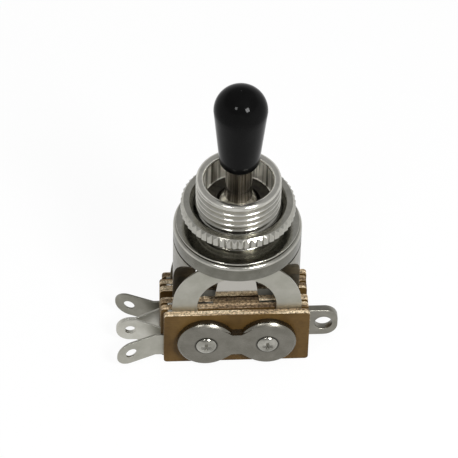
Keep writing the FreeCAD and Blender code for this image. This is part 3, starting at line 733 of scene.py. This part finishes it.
# %% Lever and tip
TIP_LOW, TIP_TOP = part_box("lever_tip")
TIP_RADIUS = TIP_TOP.x
TIP_MOUTH_RADIUS = 2.75 * MM
TIP_MOUTH_EDGE = 0.8 * MM
TIP_HOLE_EDGE = 0.1 * MM
ROD_RADIUS = 1.9 * MM
ROD_TOP = TIP_LOW.z + 9.0 * MM
ALMOST_AXIS = 0.002 * MM
LEVER_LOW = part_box("lever")[0].z
TAIL_SHOULDER = -5.4 * MM
TAIL_RADIUS = 1.1 * MM
TAIL_EDGE = 0.15 * MM
STUB_RADIUS = 0.5 * MM
STUB_EDGE = 0.05 * MM
BALL_HEIGHT = 3.3 * MM
BALL_RADIUS = 3.0 * MM
BALL_TOP = BALL_HEIGHT + math.sqrt(BALL_RADIUS ** 2 - ROD_RADIUS ** 2)
TAPER_POINTS = 12
DOME_POINTS = 28
BALL_POINTS = 24
ROD_POINTS = 8


def tip_profile():
    """Straight taper up to the head, then a quarter circle to the top, and the blind hole."""
    head = TIP_TOP.z - TIP_RADIUS
    mouth = rounded_profile([
        (ROD_RADIUS, TIP_LOW.z, TIP_HOLE_EDGE), (TIP_MOUTH_RADIUS, TIP_LOW.z, TIP_MOUTH_EDGE),
        (TIP_RADIUS, head, 0)], arc_steps=7)
    taper = np.column_stack([
        along(TIP_MOUTH_RADIUS, TIP_RADIUS, TAPER_POINTS), along(TIP_LOW.z, head, TAPER_POINTS)])
    turn = np.linspace(0, math.pi / 2, DOME_POINTS)
    dome = np.column_stack([
        np.maximum(TIP_RADIUS * np.cos(turn), ALMOST_AXIS), head + TIP_RADIUS * np.sin(turn)])
    hole = np.array([(ALMOST_AXIS, ROD_TOP), (ROD_RADIUS, ROD_TOP)])
    return np.vstack([mouth[:-1], taper[2:], dome, hole])


def lever_profile():
    """Tail, ball as an arc of a circle, and rod, from the bottom up."""
    tail = rounded_profile([
        (ALMOST_AXIS, LEVER_LOW, 0), (STUB_RADIUS, LEVER_LOW, STUB_EDGE), (STUB_RADIUS, TAIL_SHOULDER, 0),
        (TAIL_RADIUS, TAIL_SHOULDER, TAIL_EDGE), (TAIL_RADIUS, 0, 0), (ALMOST_AXIS, 0, 0)], arc_steps=4)[:-2]
    first = math.asin(TAIL_RADIUS / BALL_RADIUS)
    last = math.pi - math.asin(ROD_RADIUS / BALL_RADIUS)
    sweep = np.linspace(first, last, BALL_POINTS)
    ball = np.column_stack([BALL_RADIUS * np.sin(sweep), BALL_HEIGHT - BALL_RADIUS * np.cos(sweep)])
    heights = np.linspace(ball[-1, 1], ROD_TOP, ROD_POINTS + 1)[1:]
    rod = np.column_stack([np.full_like(heights, ROD_RADIUS), heights])
    return np.vstack([tail, ball, rod, [(ALMOST_AXIS, ROD_TOP)]])


lever_tip = turned("tip_dressed", tip_profile(), TIP, steps=96, body="lever")
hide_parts("lever_tip")
lever = turned("lever_dressed", lever_profile(), ROD, steps=96, body="lever")
finish_faces(lever, [(BALL_PAINTED_BRIGHT, lambda r, z: z < BALL_TOP)])
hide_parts("lever")
cam = stamped("cam", NYLON, 0.15 * MM, segments=3, body="lever")

# %% [markdown]
# Bracket, contacts and lugs
#
# The bracket is cast, and the ground lug has the same satin skin. The contacts and clamp plates
# are punched from sheet. Each is a rounded copy of its part, and the rear contact's finish is
# darker than the front one's.

# %% Cast and sheet metal parts
for name, finish, edge, slot in (
    ("bracket", CAST, 0.12 * MM, "nickel"),
    ("front_contact", CONTACT_SHEET, 0.06 * MM, "contact_alloy"),
    ("rear_contact", DARKER_CONTACT_SHEET, 0.06 * MM, "contact_alloy"),
    ("ground_lug", CAST, 0.2 * MM, "contact_alloy"),
    ("front_clamp_plate", SHADED_CLAMP_SHEET, 0.08 * MM, "clamp_nickel"),
    ("rear_clamp_plate", SHADED_CLAMP_SHEET, 0.08 * MM, "clamp_nickel"),
):
    stamped(name, finish, edge)

# %% [markdown]
# Clamp screws
#
# Each screw is turned about an axis that runs from front to back: a low dome with a cross struck
# into it, a shank, and a chamfered end behind the rear plate. The cross is a dip in the dome, as
# deep as the smaller of two ramps, one from the arm's side and one from its end.

# %% Screws
HEAD_RADIUS = 1.5 * MM
HEAD_HEIGHT = 0.55 * MM
HEAD_EDGE = 0.1 * MM
HEAD_ROUNDNESS = 4.5
HEAD_RINGS = 34
INNERMOST = 0.012
SHANK_RADIUS = 1.0 * MM
SHANK_CHAMFER = 0.2 * MM
ARM_HALF_WIDTH = 0.3 * MM
ARM_LENGTH = 0.85 * MM
CROSS_DEPTH = 0.32 * MM
HEAD_SHARP = math.radians(40)


def cross_dip(u, v):
    """Depth of the struck cross at (u, v) from the screw's axis."""
    long, wide = np.maximum(np.abs(u), np.abs(v)), np.minimum(np.abs(u), np.abs(v))
    side = np.clip((ARM_HALF_WIDTH - wide) / ARM_HALF_WIDTH, 0, 1)
    end = np.clip((ARM_LENGTH - long) / (0.5 * ARM_LENGTH), 0, 1)
    return CROSS_DEPTH * np.minimum(side, end)


def clamp_screw(node, steps=72):
    """A screw as rings along y: the dome falls off as share ^ HEAD_ROUNDNESS from its middle."""
    low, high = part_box(node)
    middle_x, middle_z = (low.x + high.x) / 2, (low.z + high.z) / 2
    seat = low.y + HEAD_HEIGHT
    share = np.linspace(INNERMOST, 1, HEAD_RINGS)
    dome_y = seat - HEAD_EDGE - (HEAD_HEIGHT - HEAD_EDGE) * (1 - share ** HEAD_ROUNDNESS)
    tail = np.array([
        (HEAD_RADIUS, seat), (SHANK_RADIUS, seat), (SHANK_RADIUS, high.y - SHANK_CHAMFER),
        (SHANK_RADIUS - SHANK_CHAMFER, high.y), (ALMOST_AXIS, high.y)])
    angle = np.linspace(0, 2 * math.pi, steps, endpoint=False)[None, :]
    radius = np.concatenate([HEAD_RADIUS * share, tail[:, 0]])[:, None]
    u, v = radius * np.cos(angle), radius * np.sin(angle)
    y = np.repeat(np.concatenate([dome_y, tail[:, 1]])[:, None], steps, axis=1)
    y[:HEAD_RINGS] += cross_dip(u, v)[:HEAD_RINGS]
    points = np.stack([middle_x + u, y, middle_z + v], axis=-1).reshape(-1, 3)
    piece = new_piece(node + "_dressed", points, grid_faces(len(radius), steps), SCREW_STEEL)
    piece.data.set_sharp_from_angle(angle=HEAD_SHARP)
    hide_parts(node)


for name in ("left_screw", "right_screw"):
    clamp_screw(name)

# %% [markdown]
# Spring leaves
#
# The two leaves are polished springs. Their feet are clamped in the stack while their tongues
# give way to the cam. Each is a rounded copy of its part, with its place baked into its points.

# %% Leaves
for name in ("front_leaf", "rear_leaf"):
    leaf = stamped(name, LEAF_SHEET, 0.05 * MM, body=None)
    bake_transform(leaf)

# %% [markdown]
# The insulating boards
#
# Eight boards keep the contacts apart. Their pressed faces and their sawn edges look different,
# so each face of a copy takes its finish from the way it points. The sleeves round the screws and
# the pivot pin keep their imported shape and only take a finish.

# %% Boards and hidden parts
BOARDS = [f"{side}_{kind}" for side in ("front", "rear")
          for kind in ("cover_board", "outer_spacer", "inner_spacer", "core_spacer")]
EDGE_LIMIT = 0.5
for name in BOARDS:
    board = stamped(name, BOARD_FACE, 0.05 * MM)
    board.data.materials.append(BOARD_EDGE)
    normals = np.zeros(len(board.data.polygons) * 3, np.float32)
    board.data.polygons.foreach_get("normal", normals)
    is_edge = (np.abs(normals.reshape(-1, 3)[:, 1]) < EDGE_LIMIT).astype(np.int32)
    board.data.polygons.foreach_set("material_index", is_edge)
for name, finish in (("left_sleeve", FIBRE), ("right_sleeve", FIBRE), ("pivot_pin", ROD)):
    nodes[name].data.materials.clear()
    nodes[name].data.materials.append(finish)
print("boards:", len(BOARDS))

# %% [markdown]
# Light, floor and background
#
# The picture has a white ground and no hard shadow. Two soft lamps stand close beside the camera
# and make the pair of bright spots on the tip, and a wide one above lights the boards. What the
# camera sees past the object is white. Metal mirrors that ground too, but higher up it mirrors the
# dim ceiling of a studio, which is what makes level faces such as the washer's look dark.

# %% Light and floor
NEAR_LAMPS = 350 * MM
TOP_LAMP = 400 * MM
FLOOR_SIZE = 400 * MM
FLOOR_GREY = (0.75, 0.75, 0.75)
FLOOR_GLOW = 0.93
SURROUNDINGS = 0.22
CEILING = 0.5
BACKDROP_TOP = 0.18
CEILING_START = 0.55


def lamp(name, direction, distance, size, power):
    """A square lamp that faces the origin from a direction."""
    light = bpy.data.lights.new(name, "AREA")
    light.shape = "SQUARE"
    light.size = size
    light.energy = power
    place = Vector(direction).normalized() * distance
    piece = bpy.data.objects.new(name, light)
    piece.matrix_world = Matrix.Translation(place) @ place.to_track_quat("Z", "Y").to_matrix().to_4x4()
    bpy.context.scene.collection.objects.link(piece)
    return piece


def from_camera(right, up, towards):
    """A direction given by its parts along the camera's right, up and backward directions."""
    return camera_right * right + camera_up * up + to_camera * towards


def light_world():
    """White for the camera, backdrop and ceiling for mirrored rays, and grey for all other light."""
    world = bpy.data.worlds.new("surroundings")
    world.use_nodes = True
    bpy.context.scene.world = world
    tree = world.node_tree
    ray = tree.nodes.new("ShaderNodeLightPath").outputs
    direction = tree.nodes.new("ShaderNodeTexCoord").outputs["Generated"]
    studio = mapped(tree, axes(tree, direction)["Z"], BACKDROP_TOP, CEILING_START, 1.0, CEILING, "SMOOTHSTEP")
    mirrored = largest(tree, ray["Is Glossy Ray"], ray["Is Transmission Ray"])
    unseen = mixed(tree, "FLOAT", mirrored, SURROUNDINGS, studio)
    shade = tree.nodes["Background"]
    feed(tree, mixed(tree, "FLOAT", ray["Is Camera Ray"], unseen, 1.0), shade.inputs["Strength"])
    feed(tree, (1.0, 1.0, 1.0), shade.inputs["Color"])


def lay_floor():
    """A pale floor under the stack that the camera and mirrored rays see as nearly white."""
    low = min(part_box(name)[0].z for name in ("front_cover_board", "rear_cover_board"))
    half = FLOOR_SIZE / 2
    mesh = bpy.data.meshes.new("floor")
    corners = [(-half, -half, low), (half, -half, low), (half, half, low), (-half, half, low)]
    mesh.from_pydata(corners, [], [(0, 1, 2, 3)])
    floor = bpy.data.objects.new("floor", mesh)
    bpy.context.scene.collection.objects.link(floor)
    finish = Finish("floor", Base_Color=FLOOR_GREY, Roughness=0.9, Specular_IOR_Level=0.0)
    tree = finish.tree
    ray = tree.nodes.new("ShaderNodeLightPath").outputs
    seen = largest(tree, ray["Is Camera Ray"], ray["Is Glossy Ray"], ray["Is Transmission Ray"])
    both = tree.nodes.new("ShaderNodeMixShader")
    feed(tree, maths(tree, "MULTIPLY", seen, FLOOR_GLOW), both.inputs[0])
    feed(tree, finish.shader.outputs[0], both.inputs[1])
    feed(tree, tree.nodes.new("ShaderNodeEmission").outputs[0], both.inputs[2])
    feed(tree, both.outputs[0], tree.nodes["Material Output"].inputs["Surface"])
    floor.data.materials.append(finish.material)


lamp("right_lamp", from_camera(0.45, 0.02, 0.89), NEAR_LAMPS, 90 * MM, 1.25)
lamp("left_lamp", from_camera(-0.31, 0.14, 0.94), NEAR_LAMPS, 60 * MM, 0.35)
lamp("top_lamp", (0.1, 0.15, 1.0), TOP_LAMP, 260 * MM, 0.6).visible_glossy = False
light_world()
lay_floor()
bpy.context.scene.view_settings.view_transform = "Standard"
